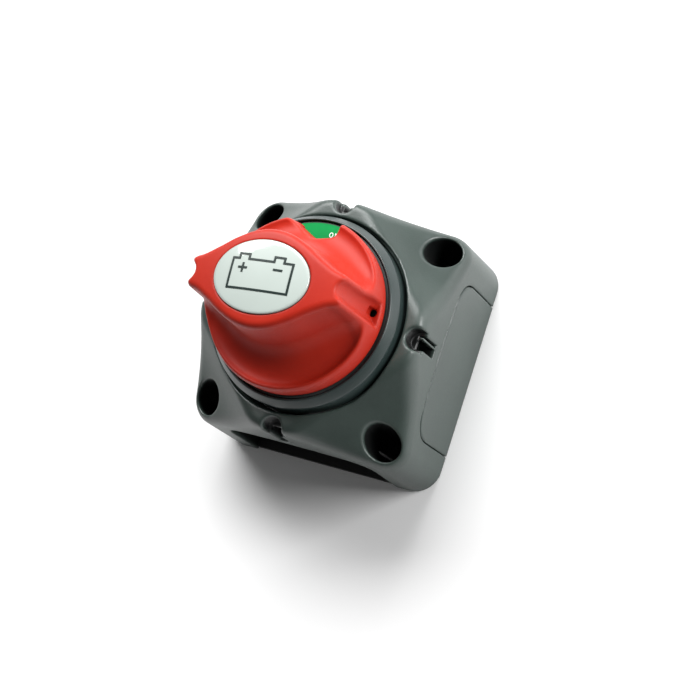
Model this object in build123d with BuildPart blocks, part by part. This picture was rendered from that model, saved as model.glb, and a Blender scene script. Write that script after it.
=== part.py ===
from build123d import *
import os
from math import atan, cos, degrees, radians, sin, sqrt, tan

os.makedirs("parts", exist_ok=True)

# ---------------------------------------------------------------------------
# Rotary battery switch.  Millimetres.  The origin is the middle of the
# mounting face, +Z runs out of the panel along the knob's axis and +Y is up.
# ---------------------------------------------------------------------------

# Housing: a square hood, open at the back, with four scooped corners.
base_side = 69.0
corner_radius = 7.5
wall_draft = 1.5
front_height = 42.0
wall = 2.5
ridge_round = 1.6

# Scoop profile along a diagonal: a steep slope, a round, a shallow slope.
steep_start = 27.0
steep_fall = 1.15
shallow_end = 44.5
shallow_height = 26.8
shallow_fall = 0.4
scoop_round = 8.0
scoop_inner_round = 6.0

# Mounting holes in the corners.
hole_offset = 27.3
head_radius = 4.65
screw_radius = 2.65
screw_shelf = 5.0
column_radius = 6.65

# Clip notches in the middle of each side.
notch_radius = 3.0
notch_centre = 32.4
notch_floor = 37.0
slot_width = 3.8
slot_back = 31.2
slot_bottom = 29.6
undercut_back = 27.5
undercut_top = 35.8
rib_centre = 32.6
rib_offset = 0.9
rib_length = 1.6
rib_width = 0.5
rib_top = 39.0
notch_backing_width = 9.2
notch_backing_back = 28.3

# Cable entries and the three panels that close all but the lowest one.
entry_half_width = 22.5
entry_crown = 25.8
entry_shoulder = 24.2
entry_corner = 4.5
seam = 0.25
panel_wall = 2.2
flange_margin = 1.4
flange_thickness = 1.2
flange_half_width = 20.3
flange_low = 2.8

# Cover that closes the back; its tongue fills the foot of the open entry.
cover_half_side = 31.8
cover_low = 0.3
cover_high = 2.3
cover_column_cut = 6.95
tongue_half_width = 22.2
tongue_end = 33.9
tongue_root = 28.6

# Round opening for the switch module, and its collar.
opening_radius = 28.2
opening_step = 39.3
opening_neck = 27.4
neck_bottom = 37.3
neck_outer = 29.8
collar_radius = 27.2
collar_lip_height = 46.8
collar_lip_outer = 25.6
collar_lip_inner = 25.1
collar_shoulder = 44.1
web_top = 44.0
web_bottom = 40.3
chamber_radius = 23.7
cover_bottom = 33.9

# Screws that pull the module up against the housing.
ear_turn = 17.5
ear_distance = 29.9
ear_radius = 2.4
boss_radius = 2.4
case_screw_radius = 1.25
case_screw_clear = 1.3
cover_ear_top = 35.4
boss_bottom = 35.7
boss_hole_top = 40.4
base_ear_bottom = 30.9
case_head_radius = 2.3
case_head_height = 1.8

# Contact base.
floor_bottom = 22.0
floor_top = 25.2
base_wall_radius = 27.0
base_wall_top = 33.6

# Terminal studs and their hardware (M10).
stud_offset = 13.5
stud_radius = 5.0
stud_end = 3.0
stud_head_side = 12.0
stud_head_height = 3.2
stud_bore = 5.05
washer_radius = 10.0
washer_thickness = 2.0
spring_washer_radius = 9.0
spring_washer_thickness = 2.4
washer_bore = 5.3
nut_across_flats = 17.0
nut_height = 8.0
hardware_gap = 0.1

# Turning parts.
on_turn = 4.5
throw = 90.0
rotor_radius = 20.0
rotor_bottom = 35.6
rotor_top = 39.8
stem_radius = 6.02
stem_bore = 6.1
stem_shoulder = 46.6
stem_square = 8.4
stem_end = 59.7
tab_radius = 22.9
tab_half_angle = 10.0
stop_inner_radius = 20.6
stop_gap_angle = 0.8
stop_width_angle = 12.0
pin_radius = 3.6
pin_bottom = 29.0
jaw_inner = 5.9
jaw_outer = 8.4
jaw_half_length = 7.0
jaw_bottom = 29.2
insert_radius = 3.2
insert_bottom = 47.0
insert_bore = 2.2

bridge_length = 38.0
bridge_width = 11.0
bridge_bottom = 28.7
bridge_thickness = 3.0
bridge_bore = 3.68

spring_radius = 5.0
spring_wire = 0.4
spring_low = 32.15
spring_high = 35.15
spring_turns = 2.5

seal_groove_radius = 8.2
seal_low = 41.2
seal_high = 43.4
seal_section = 1.05

# Status disc under the knob.
disc_radius = 24.7
disc_bore = 9.4
disc_bottom = 44.2
disc_top = 46.0
print_inner = 12.0
print_outer = 24.4
print_half_angle = 24.0
print_thickness = 0.2
letter_height = 1.5
letter_width = 1.2
letter_pitch = 1.65
letter_stroke = 0.24
letter_thickness = 0.1
on_first_letter = (1.6, 21.5)
off_first_letter = (-23.1, 0.0)

# Knob.
knob_bottom = 46.65
skirt_radius = 24.5
rim_radius = 25.1
rim_height = 49.6
crest_radius = 23.9
crest_height = 53.4
scoop_floor = 50.8
scoop_floor_radius = 20.5
plate_underside = 48.6
skirt_inner = 22.6
grip_top = 75.0
crown_height = 73.6
crown_radius = 82.5
crest_round = 0.8
hub_radius = 8.6
socket_side = 8.5
socket_top = 59.8
screw_seat = 62.2
screw_clear = 2.6
seat_radius = 4.6
hollow_top = 68.5
channel_top = 76.0
channel_floor = 49.9
window_low = [(-8.4, 25.0), (1.4, 19.0), (6.2, 19.6), (7.2, 25.0)]
window_high = [(-10.6, 25.0), (2.2, 17.2), (8.0, 18.2), (9.4, 25.0)]
window_round = 1.2
label_long = 13.5
label_short = 9.87
label_bottom = 72.0
label_peak = 73.9
label_sphere = 91.0
label_gap = 0.1
symbol_thickness = 0.12
symbol_line = 0.58
symbol_width = 17.7
symbol_height = 8.5
symbol_lift = 0.1
terminal_centres = (-5.4, 4.6)
terminal_width = 3.35
terminal_height = 1.3
sign_size = 2.6
plus_centre = (-5.3, 1.7)
minus_centre = (4.7, 2.0)

corners = [(sx * hole_offset, sy * hole_offset) for sx in (-1, 1) for sy in (-1, 1)]
ear_bearings = [ear_turn, 180 - ear_turn, 180 + ear_turn, 360 - ear_turn]
ears = [(ear_distance * cos(radians(a)), ear_distance * sin(radians(a))) for a in ear_bearings]
studs = [(-stud_offset, 0), (stud_offset, 0)]


def save(shape, node):
    """Name a finished piece and write it out."""
    shape.label = node
    export_step(shape, f"parts/{node}.step")


def turned(shape):
    """Turn a piece of the knob's body to where the knob rests, near ON."""
    return shape.rotate(Axis.Z, on_turn)


def ring_sector(inner, outer, start, end):
    """A piece of a flat ring between two angles, to add to a sketch."""
    with BuildSketch() as sector:
        with BuildLine():
            CenterArc((0, 0), inner, start, end - start)
            CenterArc((0, 0), outer, start, end - start)
            for angle in (start, end):
                direction = (cos(radians(angle)), sin(radians(angle)))
                near = (inner * direction[0], inner * direction[1])
                far = (outer * direction[0], outer * direction[1])
                Line(near, far)
        make_face()
    return sector.sketch


def scoop_profile(inset):
    """Corner points of the scoop's slopes, moved into the wall by inset."""
    steep_shift = inset * sqrt(1 + steep_fall**2)
    shallow_shift = inset * sqrt(1 + shallow_fall**2)
    steep_zero = front_height + steep_fall * steep_start - steep_shift
    shallow_zero = shallow_height + shallow_fall * shallow_end - shallow_shift
    meet = (steep_zero - shallow_zero) / (steep_fall - shallow_fall)
    near = steep_start - 5
    far = 56.0
    return [
        (near, steep_zero - steep_fall * near),
        (meet, steep_zero - steep_fall * meet),
        (far, shallow_zero - shallow_fall * far),
    ]


def diagonal_plane(angle):
    """Upright plane that holds the Z axis and points along an angle."""
    along = (cos(radians(angle)), sin(radians(angle)), 0)
    normal = (sin(radians(angle)), -cos(radians(angle)), 0)
    return Plane(origin=(0, 0, 0), x_dir=along, z_dir=normal)


def corner_scoop(angle, inset, fillet_radius):
    """Everything above the scooped surface of one corner."""
    points = scoop_profile(inset)
    top = front_height + 12
    with BuildPart() as scoop:
        with BuildSketch(diagonal_plane(angle)):
            with BuildLine():
                FilletPolyline(*points, radius=fillet_radius)
                Polyline(points[2], (points[2][0], top), (points[0][0], top), points[0])
            make_face()
        extrude(amount=50, both=True)
    return scoop.part


def ear_pads(radius, reach_in):
    """Four round ears, each tied back towards the middle, to add to a sketch."""
    with BuildSketch() as pads:
        for bearing in ear_bearings:
            along = ear_distance * cos(radians(bearing))
            across = ear_distance * sin(radians(bearing))
            middle = (ear_distance + reach_in) / 2 / ear_distance
            with Locations((along, across)):
                Circle(radius)
            with Locations((along * middle, across * middle)):
                Rectangle(ear_distance - reach_in, 2 * radius, rotation=bearing)
    return pads.sketch


def entry_outline(grow):
    """The arched cable entry, standing on the mounting face, to add to a sketch."""
    half = entry_half_width + grow
    shoulder = entry_shoulder + grow
    crown = entry_crown + grow
    with BuildSketch() as entry:
        with BuildLine():
            Polyline((-half, shoulder), (-half, 0), (half, 0), (half, shoulder))
            ThreePointArc((half, shoulder), (0, crown), (-half, shoulder))
        make_face()
        arch_corners = vertices().group_by(Axis.Y)[-1]
        fillet(arch_corners, radius=entry_corner)
    return entry.sketch


def side_plane(angle):
    """Upright plane across the side that faces an angle, seen from outside."""
    outward = (cos(radians(angle)), sin(radians(angle)), 0)
    across = (-sin(radians(angle)), cos(radians(angle)), 0)
    return Plane(origin=(0, 0, 0), x_dir=across, z_dir=outward)


# ---------------------------------------------------------------- housing --

with BuildPart() as outer_block:
    with BuildSketch():
        RectangleRounded(base_side, base_side, corner_radius)
    extrude(amount=front_height, taper=wall_draft)
    for quarter in range(4):
        add(corner_scoop(45 + 90 * quarter, 0, scoop_round), mode=Mode.SUBTRACT)
    ridge = edges().filter_by(lambda edge: edge.center().Z > 20)
    fillet(ridge, radius=ridge_round)

with BuildPart() as wall_block:
    with BuildSketch():
        RectangleRounded(base_side, base_side, corner_radius)
    extrude(amount=front_height, taper=wall_draft)

with BuildPart() as panel_backing:
    with BuildSketch():
        RectangleRounded(base_side - 2 * panel_wall, base_side - 2 * panel_wall, corner_radius - panel_wall)
    extrude(amount=front_height, taper=wall_draft)

with BuildPart() as cavity:
    with BuildSketch():
        RectangleRounded(base_side - 2 * wall, base_side - 2 * wall, corner_radius - wall)
    extrude(amount=front_height - wall, taper=wall_draft)
    for quarter in range(4):
        add(corner_scoop(45 + 90 * quarter, wall, scoop_inner_round), mode=Mode.SUBTRACT)
    with BuildSketch():
        with Locations(*corners):
            Circle(column_radius)
    extrude(amount=front_height, mode=Mode.SUBTRACT)
    with BuildSketch(Plane.XY.offset(boss_bottom)):
        with Locations(*ears):
            Circle(boss_radius)
    extrude(amount=front_height - boss_bottom, mode=Mode.SUBTRACT)
    with BuildSketch(Plane.XY.offset(neck_bottom)):
        Circle(neck_outer)
        Circle(opening_neck, mode=Mode.SUBTRACT)
    extrude(amount=front_height - neck_bottom, mode=Mode.SUBTRACT)
    with BuildSketch(Plane.XY.offset(slot_bottom - 2)):
        with PolarLocations((base_side / 2 + notch_backing_back) / 2, 4):
            Rectangle(base_side / 2 - notch_backing_back, notch_backing_width)
    extrude(amount=front_height, mode=Mode.SUBTRACT)

with BuildPart() as housing:
    add(outer_block.part)
    add(cavity.part, mode=Mode.SUBTRACT)
    with BuildSketch(Plane.XY.offset(neck_bottom - 1)):
        Circle(opening_neck)
    extrude(amount=front_height, mode=Mode.SUBTRACT)
    with BuildSketch(Plane.XY.offset(opening_step)):
        Circle(opening_radius)
    extrude(amount=front_height, mode=Mode.SUBTRACT)
    with BuildSketch(Plane.XY.offset(screw_shelf)):
        with Locations(*corners):
            Circle(head_radius)
    extrude(amount=front_height, mode=Mode.SUBTRACT)
    with BuildSketch():
        with Locations(*corners):
            Circle(screw_radius)
    extrude(amount=screw_shelf, mode=Mode.SUBTRACT)
    with BuildSketch(Plane.XY.offset(boss_bottom)):
        with Locations(*ears):
            Circle(case_screw_clear)
    extrude(amount=boss_hole_top - boss_bottom, mode=Mode.SUBTRACT)
    with BuildSketch(Plane.XY.offset(notch_floor)):
        with PolarLocations(notch_centre, 4):
            Circle(notch_radius)
    extrude(amount=front_height, mode=Mode.SUBTRACT)
    with BuildSketch(Plane.XY.offset(slot_bottom)):
        with PolarLocations(slot_back + 3, 4):
            Rectangle(6, slot_width)
    extrude(amount=front_height, mode=Mode.SUBTRACT)
    with BuildSketch(Plane.XY.offset(slot_bottom)):
        with PolarLocations((undercut_back + notch_centre) / 2, 4):
            Rectangle(notch_centre - undercut_back, slot_width)
    extrude(amount=undercut_top - slot_bottom, mode=Mode.SUBTRACT)
    with BuildSketch(Plane.XY.offset(slot_bottom - 0.5)):
        with PolarLocations(rib_centre, 4):
            with Locations((0, rib_offset)):
                Rectangle(rib_length, rib_width)
    extrude(amount=rib_top - slot_bottom + 0.5)
    for side in range(4):
        with BuildSketch(side_plane(90 * side).offset(notch_backing_back)):
            add(entry_outline(seam))
        extrude(amount=12, mode=Mode.SUBTRACT)

save(housing.part, "housing")

# ----------------------------------------------------------- entry panels --

panel_sides = {"side_panel_right": 0, "side_panel_top": 90, "side_panel_left": 180}

for panel_node, facing in panel_sides.items():
    with BuildPart() as side_panel:
        with BuildSketch(side_plane(facing).offset(notch_backing_back)):
            add(entry_outline(0))
        extrude(amount=12)
        add(wall_block.part, mode=Mode.INTERSECT)
        add(panel_backing.part, mode=Mode.SUBTRACT)
        inner_face = base_side / 2 - wall - tan(radians(wall_draft)) * entry_crown
        flange_face = inner_face - hardware_gap - flange_thickness
        with BuildSketch(side_plane(facing).offset(flange_face)):
            add(entry_outline(flange_margin))
            with Locations((0, flange_low + entry_crown / 2 + flange_margin)):
                Rectangle(2 * flange_half_width, entry_crown + 2 * flange_margin, mode=Mode.INTERSECT)
        extrude(amount=flange_thickness)
        with BuildSketch(side_plane(facing).offset(flange_face)):
            with Locations((0, entry_shoulder / 2)):
                Rectangle(2 * flange_half_width - 2, entry_shoulder - 8)
        extrude(amount=base_side / 2 - panel_wall - flange_face)
    save(side_panel.part, panel_node)

# -------------------------------------------------------------- rear cover --

with BuildPart() as rear_cover:
    with BuildSketch(Plane.XY.offset(cover_low)):
        Rectangle(2 * cover_half_side, 2 * cover_half_side)
        with Locations(*corners):
            Circle(cover_column_cut, mode=Mode.SUBTRACT)
        with Locations((0, -(tongue_end + tongue_root) / 2)):
            Rectangle(2 * tongue_half_width, tongue_end - tongue_root)
    extrude(amount=cover_high - cover_low)

save(rear_cover.part, "rear_cover")

# -------------------------------------------------- collar and top cover --

tab_on = 270.0
first_stop_end = tab_on - tab_half_angle - stop_gap_angle
last_stop_start = tab_on + throw + tab_half_angle + stop_gap_angle

with BuildPart() as collar:
    with BuildSketch(Plane.XZ):
        with BuildLine():
            Polyline(
                (stem_bore, web_bottom),
                (stem_bore, seal_low),
                (seal_groove_radius, seal_low),
                (seal_groove_radius, seal_high),
                (stem_bore, seal_high),
                (stem_bore, web_top),
                (collar_lip_inner, web_top),
                (collar_lip_inner, collar_lip_height),
                (collar_lip_outer, collar_lip_height),
                (collar_radius, collar_shoulder),
                (collar_radius, cover_bottom),
                (chamber_radius, cover_bottom),
                (chamber_radius, web_bottom),
                close=True,
            )
        make_face()
    revolve(axis=Axis.Z)
    with BuildSketch(Plane.XY.offset(cover_bottom)):
        add(ear_pads(ear_radius, chamber_radius + 1))
    extrude(amount=cover_ear_top - cover_bottom)
    with BuildSketch(Plane.XY.offset(cover_bottom)):
        add(ring_sector(stop_inner_radius, chamber_radius + 1, first_stop_end - stop_width_angle, first_stop_end))
        add(ring_sector(stop_inner_radius, chamber_radius + 1, last_stop_start, last_stop_start + stop_width_angle))
    extrude(amount=web_bottom - cover_bottom + 1)
    with BuildSketch(Plane.XY.offset(cover_bottom)):
        with Locations(*ears):
            Circle(case_screw_clear)
    extrude(amount=cover_ear_top - cover_bottom, mode=Mode.SUBTRACT)

save(collar.part, "collar")

with BuildPart() as shaft_seal:
    with BuildSketch(Plane.XZ):
        with Locations((stem_radius + seal_section + 0.03, (seal_low + seal_high) / 2)):
            Circle(seal_section)
    revolve(axis=Axis.Z)

save(shaft_seal.part, "shaft_seal")

# ----------------------------------------------------------- contact base --

with BuildPart() as contact_base:
    with BuildSketch(Plane.XY.offset(floor_bottom)):
        Circle(base_wall_radius)
        with Locations(*studs):
            Circle(stud_bore, mode=Mode.SUBTRACT)
    extrude(amount=floor_top - floor_bottom)
    with BuildSketch(Plane.XY.offset(floor_top)):
        Circle(base_wall_radius)
        Circle(chamber_radius, mode=Mode.SUBTRACT)
    extrude(amount=base_wall_top - floor_top)
    with BuildSketch(Plane.XY.offset(base_ear_bottom)):
        add(ear_pads(ear_radius, chamber_radius + 1))
    extrude(amount=base_wall_top - base_ear_bottom)
    with BuildSketch(Plane.XY.offset(base_ear_bottom)):
        with Locations(*ears):
            Circle(case_screw_clear)
    extrude(amount=base_wall_top - base_ear_bottom, mode=Mode.SUBTRACT)

save(contact_base.part, "contact_base")

with BuildPart() as case_screws:
    with BuildSketch(Plane.XY.offset(base_ear_bottom - case_head_height)):
        with Locations(*ears):
            Circle(case_head_radius)
    extrude(amount=case_head_height)
    with BuildSketch(Plane.XY.offset(base_ear_bottom)):
        with Locations(*ears):
            Circle(case_screw_radius)
    extrude(amount=boss_hole_top - base_ear_bottom - 0.6)
    with BuildSketch(Plane.XY.offset(base_ear_bottom - case_head_height)):
        with Locations(*ears):
            Rectangle(2.6, 0.6)
            Rectangle(0.6, 2.6)
    extrude(amount=1, mode=Mode.SUBTRACT)

save(case_screws.part, "case_screws")

# --------------------------------------------------------------- terminals --

with BuildPart() as terminal_studs:
    with BuildSketch(Plane.XY.offset(stud_end)):
        with Locations(*studs):
            Circle(stud_radius)
    extrude(amount=floor_top - stud_end)
    stud_tips = edges().group_by(Axis.Z)[0]
    chamfer(stud_tips, length=1)
    with BuildSketch(Plane.XY.offset(floor_top)):
        with Locations(*studs):
            RectangleRounded(stud_head_side, stud_head_side, 1)
    extrude(amount=stud_head_height)

save(terminal_studs.part, "terminal_studs")

washer_low = floor_bottom - hardware_gap - washer_thickness
spring_washer_low = washer_low - hardware_gap - spring_washer_thickness
nut_low = spring_washer_low - hardware_gap - nut_height

with BuildPart() as flat_washers:
    with BuildSketch(Plane.XY.offset(washer_low)):
        with Locations(*studs):
            Circle(washer_radius)
            Circle(washer_bore, mode=Mode.SUBTRACT)
    extrude(amount=washer_thickness)

save(flat_washers.part, "flat_washers")

with BuildPart() as spring_washers:
    with BuildSketch(Plane.XY.offset(spring_washer_low)):
        with Locations(*studs):
            Circle(spring_washer_radius)
            Circle(washer_bore, mode=Mode.SUBTRACT)
        with Locations(*[(x, -spring_washer_radius) for x, y in studs]):
            Rectangle(0.8, 10, rotation=20, mode=Mode.SUBTRACT)
    extrude(amount=spring_washer_thickness)

save(spring_washers.part, "spring_washers")

with BuildPart() as terminal_nuts:
    with BuildSketch(Plane.XY.offset(nut_low)):
        with Locations(*studs):
            RegularPolygon(nut_across_flats / 2, 6, major_radius=False)
    extrude(amount=nut_height)
    for x, y in studs:
        with BuildSketch(Plane.XZ.offset(-y)):
            with BuildLine():
                corner = nut_across_flats / 2 / cos(radians(30))
                slope = 0.6 * (corner - nut_across_flats / 2) + 0.4
                nut_high = nut_low + nut_height
                Polyline(
                    (x + nut_across_flats / 2 - 0.4, nut_low),
                    (x + corner + 0.6, nut_low + slope + 0.4),
                    (x + corner + 0.6, nut_high - slope - 0.4),
                    (x + nut_across_flats / 2 - 0.4, nut_high),
                    (x + corner + 3, nut_high),
                    (x + corner + 3, nut_low),
                    close=True,
                )
            make_face()
        revolve(axis=Axis((x, y, 0), (0, 0, 1)), mode=Mode.SUBTRACT)
    with BuildSketch(Plane.XY.offset(nut_low)):
        with Locations(*studs):
            Circle(stud_bore)
    extrude(amount=nut_height, mode=Mode.SUBTRACT)

save(terminal_nuts.part, "terminal_nuts")

# ------------------------------------------------------------- status disc --

with BuildPart() as status_disc:
    with BuildSketch(Plane.XY.offset(disc_bottom)):
        Circle(disc_radius)
        Circle(disc_bore, mode=Mode.SUBTRACT)
    extrude(amount=disc_top - disc_bottom)

save(status_disc.part, "status_disc")

for print_node, bearing in {"on_sector": 90, "off_sector": 180}.items():
    with BuildPart() as sector:
        with BuildSketch(Plane.XY.offset(disc_top)):
            add(ring_sector(print_inner, print_outer, bearing - print_half_angle, bearing + print_half_angle))
        extrude(amount=print_thickness)
    save(sector.part, print_node)

letter_strokes = {
    "N": [(-0.5, 0, 0, 1, 0), (0.5, 0, 0, 1, 0)],
    "F": [(-0.5, 0, 0, 1, 0), (0, 0.5, 1, 0, 0), (-0.1, 0, 0.8, 0, 0)],
}

with BuildPart() as position_lettering:
    with BuildSketch(Plane.XY.offset(disc_top + print_thickness)):
        words = {"ON": on_first_letter, "OFF": off_first_letter}
        for word, (start_x, start_y) in words.items():
            for place, letter in enumerate(word):
                centre = (start_x + place * letter_pitch, start_y)
                if letter == "O":
                    with Locations(centre):
                        Ellipse(letter_width / 2, letter_height / 2)
                        Ellipse(letter_width / 2 - letter_stroke, letter_height / 2 - letter_stroke, mode=Mode.SUBTRACT)
                    continue
                for cx, cy, wide, tall, lean in letter_strokes[letter]:
                    inset_x = letter_width / 2 - letter_stroke / 2
                    inset_y = letter_height / 2 - letter_stroke / 2
                    place_x = centre[0] + 2 * cx * inset_x
                    place_y = centre[1] + 2 * cy * inset_y
                    with Locations((place_x, place_y)):
                        Rectangle(
                            max(letter_stroke, wide * letter_width),
                            max(letter_stroke, tall * letter_height),
                        )
                if letter == "N":
                    span = letter_height - letter_stroke
                    run = letter_width - letter_stroke
                    with Locations(centre):
                        Rectangle(
                            letter_stroke,
                            sqrt(span**2 + run**2),
                            rotation=degrees(atan(run / span)),
                        )
    extrude(amount=letter_thickness)

save(position_lettering.part, "position_lettering")

# ------------------------------------------------------------------- rotor --

with BuildPart() as rotor:
    with BuildSketch(Plane.XY.offset(rotor_bottom)):
        Circle(rotor_radius)
        add(ring_sector(rotor_radius - 2, tab_radius, tab_on - tab_half_angle, tab_on + tab_half_angle))
    extrude(amount=rotor_top - rotor_bottom)
    with BuildSketch(Plane.XY.offset(rotor_top)):
        Circle(stem_radius)
    extrude(amount=stem_shoulder - rotor_top)
    with BuildSketch(Plane.XY.offset(stem_shoulder)):
        RectangleRounded(stem_square, stem_square, 0.6)
    extrude(amount=stem_end - stem_shoulder)
    with BuildSketch(Plane.XY.offset(pin_bottom)):
        Circle(pin_radius)
    extrude(amount=rotor_bottom - pin_bottom)
    with BuildSketch(Plane.XY.offset(jaw_bottom)):
        with GridLocations(0, jaw_inner + jaw_outer, 1, 2):
            Rectangle(2 * jaw_half_length, jaw_outer - jaw_inner)
    extrude(amount=rotor_bottom - jaw_bottom)
    with BuildSketch(Plane.XY.offset(insert_bottom)):
        Circle(insert_radius + 0.05)
    extrude(amount=stem_end, mode=Mode.SUBTRACT)

save(turned(rotor.part), "rotor")

with BuildPart() as stem_insert:
    with BuildSketch(Plane.XY.offset(insert_bottom)):
        Circle(insert_radius)
        Circle(insert_bore, mode=Mode.SUBTRACT)
    extrude(amount=stem_end - insert_bottom)

save(turned(stem_insert.part), "stem_insert")

with BuildPart() as contact_bridge:
    with BuildSketch(Plane.XY.offset(bridge_bottom)):
        RectangleRounded(bridge_length, bridge_width, 2.5)
        Circle(bridge_bore, mode=Mode.SUBTRACT)
    extrude(amount=bridge_thickness)

save(turned(contact_bridge.part), "contact_bridge")

with BuildPart() as bridge_spring:
    coil_height = spring_high - spring_low
    with BuildLine(Plane.XY.offset(spring_low)) as coil_line:
        coil = Helix(pitch=coil_height / spring_turns, height=coil_height, radius=spring_radius)
    with BuildSketch(Plane(origin=coil @ 0, z_dir=coil % 0)):
        Circle(spring_wire)
    sweep(path=coil, is_frenet=True)

save(turned(bridge_spring.part), "bridge_spring")

# -------------------------------------------------------------------- knob --

# Half outline of the grip at its crest, from the middle of one long side to
# the tip; each point moves outwards by its own share as the grip flares.
grip_points = [
    (0.0, 12.8, 0.0, 1.0),
    (5.0, 12.0, 0.1, 1.0),
    (10.0, 9.8, 0.35, 0.9),
    (15.0, 6.8, 0.45, 0.85),
    (19.0, 4.3, 0.3, 0.7),
    (21.4, 2.7, 0.0, 0.5),
]
grip_tip = 22.0

# Height, sideways flare and lengthening of each level of the grip.
grip_levels = [
    (50.2, 8.4, 2.2),
    (51.2, 6.0, 2.1),
    (53.2, 3.8, 1.9),
    (57.0, 2.0, 1.5),
    (63.0, 0.9, 0.8),
    (grip_top, -0.3, -0.3),
]


def grip_outline(flare, lengthen):
    """Points once round the grip, from the tip on +X."""
    quarter = [(x + fx * flare + lengthen * (x > 20), y + fy * flare) for x, y, fx, fy in grip_points]
    first = [(grip_tip + lengthen, 0.0)] + quarter[:0:-1]
    upper = first + [quarter[0]] + [(-x, y) for x, y in quarter[1:]]
    lower = [(-grip_tip - lengthen, 0.0)] + [(-x, -y) for x, y in quarter[:0:-1]]
    return upper + lower + [(quarter[0][0], -quarter[0][1])] + [(x, -y) for x, y in quarter[1:]]


with BuildPart() as grip:
    for level, flare, lengthen in grip_levels:
        with BuildSketch(Plane.XY.offset(level)):
            with BuildLine():
                Spline(*grip_outline(flare, lengthen), periodic=True)
            make_face()
    loft()
    with BuildSketch(Plane.XZ):
        with BuildLine():
            sag = crown_radius - sqrt(crown_radius**2 - 30**2)
            ThreePointArc((-30, crown_height - sag), (0, crown_height), (30, crown_height - sag))
            Polyline((30, crown_height - sag), (30, 40), (-30, 40), (-30, crown_height - sag))
        make_face()
    extrude(amount=30, both=True, mode=Mode.INTERSECT)
    crest = edges().filter_by(lambda edge: edge.center().Z > 65)
    fillet(crest, radius=crest_round)

with BuildPart() as knob:
    with BuildSketch(Plane.XZ):
        with BuildLine():
            Polyline(
                (0, plate_underside),
                (skirt_inner, plate_underside),
                (skirt_inner, knob_bottom),
                (skirt_radius, knob_bottom),
                (rim_radius, rim_height),
                (crest_radius, crest_height),
                (scoop_floor_radius, scoop_floor),
                (0, scoop_floor),
                close=True,
            )
        make_face()
    revolve(axis=Axis.Z)
    add(grip.part)
    with BuildSketch(Plane.XY.offset(plate_underside)):
        Ellipse(19.0, 11.4)
    with BuildSketch(Plane.XY.offset(hollow_top)):
        Ellipse(16.2, 9.4)
    loft(mode=Mode.SUBTRACT)
    with BuildSketch(Plane.XY.offset(knob_bottom)):
        Circle(hub_radius)
    extrude(amount=hollow_top - knob_bottom + 1)
    with BuildSketch(Plane.XY.offset(knob_bottom)):
        Rectangle(socket_side, socket_side)
    extrude(amount=socket_top - knob_bottom, mode=Mode.SUBTRACT)
    with BuildSketch(Plane.XY.offset(socket_top)):
        Circle(screw_clear)
    extrude(amount=screw_seat - socket_top, mode=Mode.SUBTRACT)
    with BuildSketch(Plane.XY.offset(screw_seat)):
        Circle(seat_radius)
    extrude(amount=20, mode=Mode.SUBTRACT)
    with BuildSketch(Plane.XY.offset(label_bottom)):
        Ellipse(label_long + label_gap, label_short + label_gap)
    extrude(amount=10, mode=Mode.SUBTRACT)
    for end in (-1, 1):
        with BuildSketch(Plane.XY.offset(channel_floor)):
            with Locations((end * 25.4, 0)):
                Circle(3.4)
        with BuildSketch(Plane.XY.offset(channel_top)):
            with Locations((end * 22.2, 0)):
                Circle(2.7)
        loft(mode=Mode.SUBTRACT)
    for level, outline in ((knob_bottom, window_low), (crest_height + 1, window_high)):
        with BuildSketch(Plane.XY.offset(level)):
            with BuildLine():
                FilletPolyline(*outline, radius=window_round)
                Polyline(outline[-1], (outline[-1][0], 28), (outline[0][0], 28), outline[0])
            make_face()
    loft(mode=Mode.SUBTRACT)

save(turned(knob.part), "knob")

with BuildPart() as knob_screw:
    with BuildSketch(Plane.XY.offset(screw_seat + hardware_gap)):
        Circle(seat_radius - 0.4)
    extrude(amount=3)
    with BuildSketch(Plane.XY.offset(insert_bottom + 3)):
        Circle(insert_bore - 0.05)
    extrude(amount=screw_seat + hardware_gap - insert_bottom - 3)
    with BuildSketch(Plane.XY.offset(screw_seat + 1.6)):
        Rectangle(4.4, 0.9)
        Rectangle(0.9, 4.4)
    extrude(amount=4, mode=Mode.SUBTRACT)

save(turned(knob_screw.part), "knob_screw")

# ------------------------------------------------------------- knob label --

sphere_centre = label_peak - label_sphere

with BuildPart() as label_dome:
    with BuildSketch(Plane.XY.offset(label_bottom)):
        Ellipse(label_long, label_short)
    extrude(amount=4)
    with Locations((0, 0, sphere_centre)):
        Sphere(label_sphere, mode=Mode.INTERSECT)

save(turned(label_dome.part), "label_dome")

with BuildPart() as battery_symbol:
    box_top = symbol_lift + symbol_height / 2
    with BuildSketch(Plane.XY.offset(label_bottom)):
        for grow in (0, symbol_line):
            shade = Mode.SUBTRACT if grow else Mode.ADD
            with Locations((0, symbol_lift)):
                Rectangle(symbol_width - 2 * grow, symbol_height - 2 * grow, mode=shade)
            with Locations(*[(x, box_top - grow) for x in terminal_centres]):
                Rectangle(terminal_width - 2 * grow, 2 * terminal_height, mode=shade)
        with Locations(plus_centre):
            Rectangle(sign_size, symbol_line)
            Rectangle(symbol_line, sign_size)
        with Locations(minus_centre):
            Rectangle(sign_size, symbol_line)
    extrude(amount=4)
    with Locations((0, 0, sphere_centre)):
        Sphere(label_sphere + symbol_thickness, mode=Mode.INTERSECT)
        Sphere(label_sphere, mode=Mode.SUBTRACT)

save(turned(battery_symbol.part), "battery_symbol")
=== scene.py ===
# %% [markdown]
# # A rotary battery switch for a boat
#
# The engineering model of this switch already exists: every moulding, stud and
# washer has its size, its place and its joint.  This lesson gives it its looks.
# Most of the visible pieces are injection mouldings, and what makes a moulding
# believable is that no edge is sharp and no surface is perfectly even.
# We load the engineering frame first.

import math

import bpy
import numpy as np
from mathutils import Matrix, Vector


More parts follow.
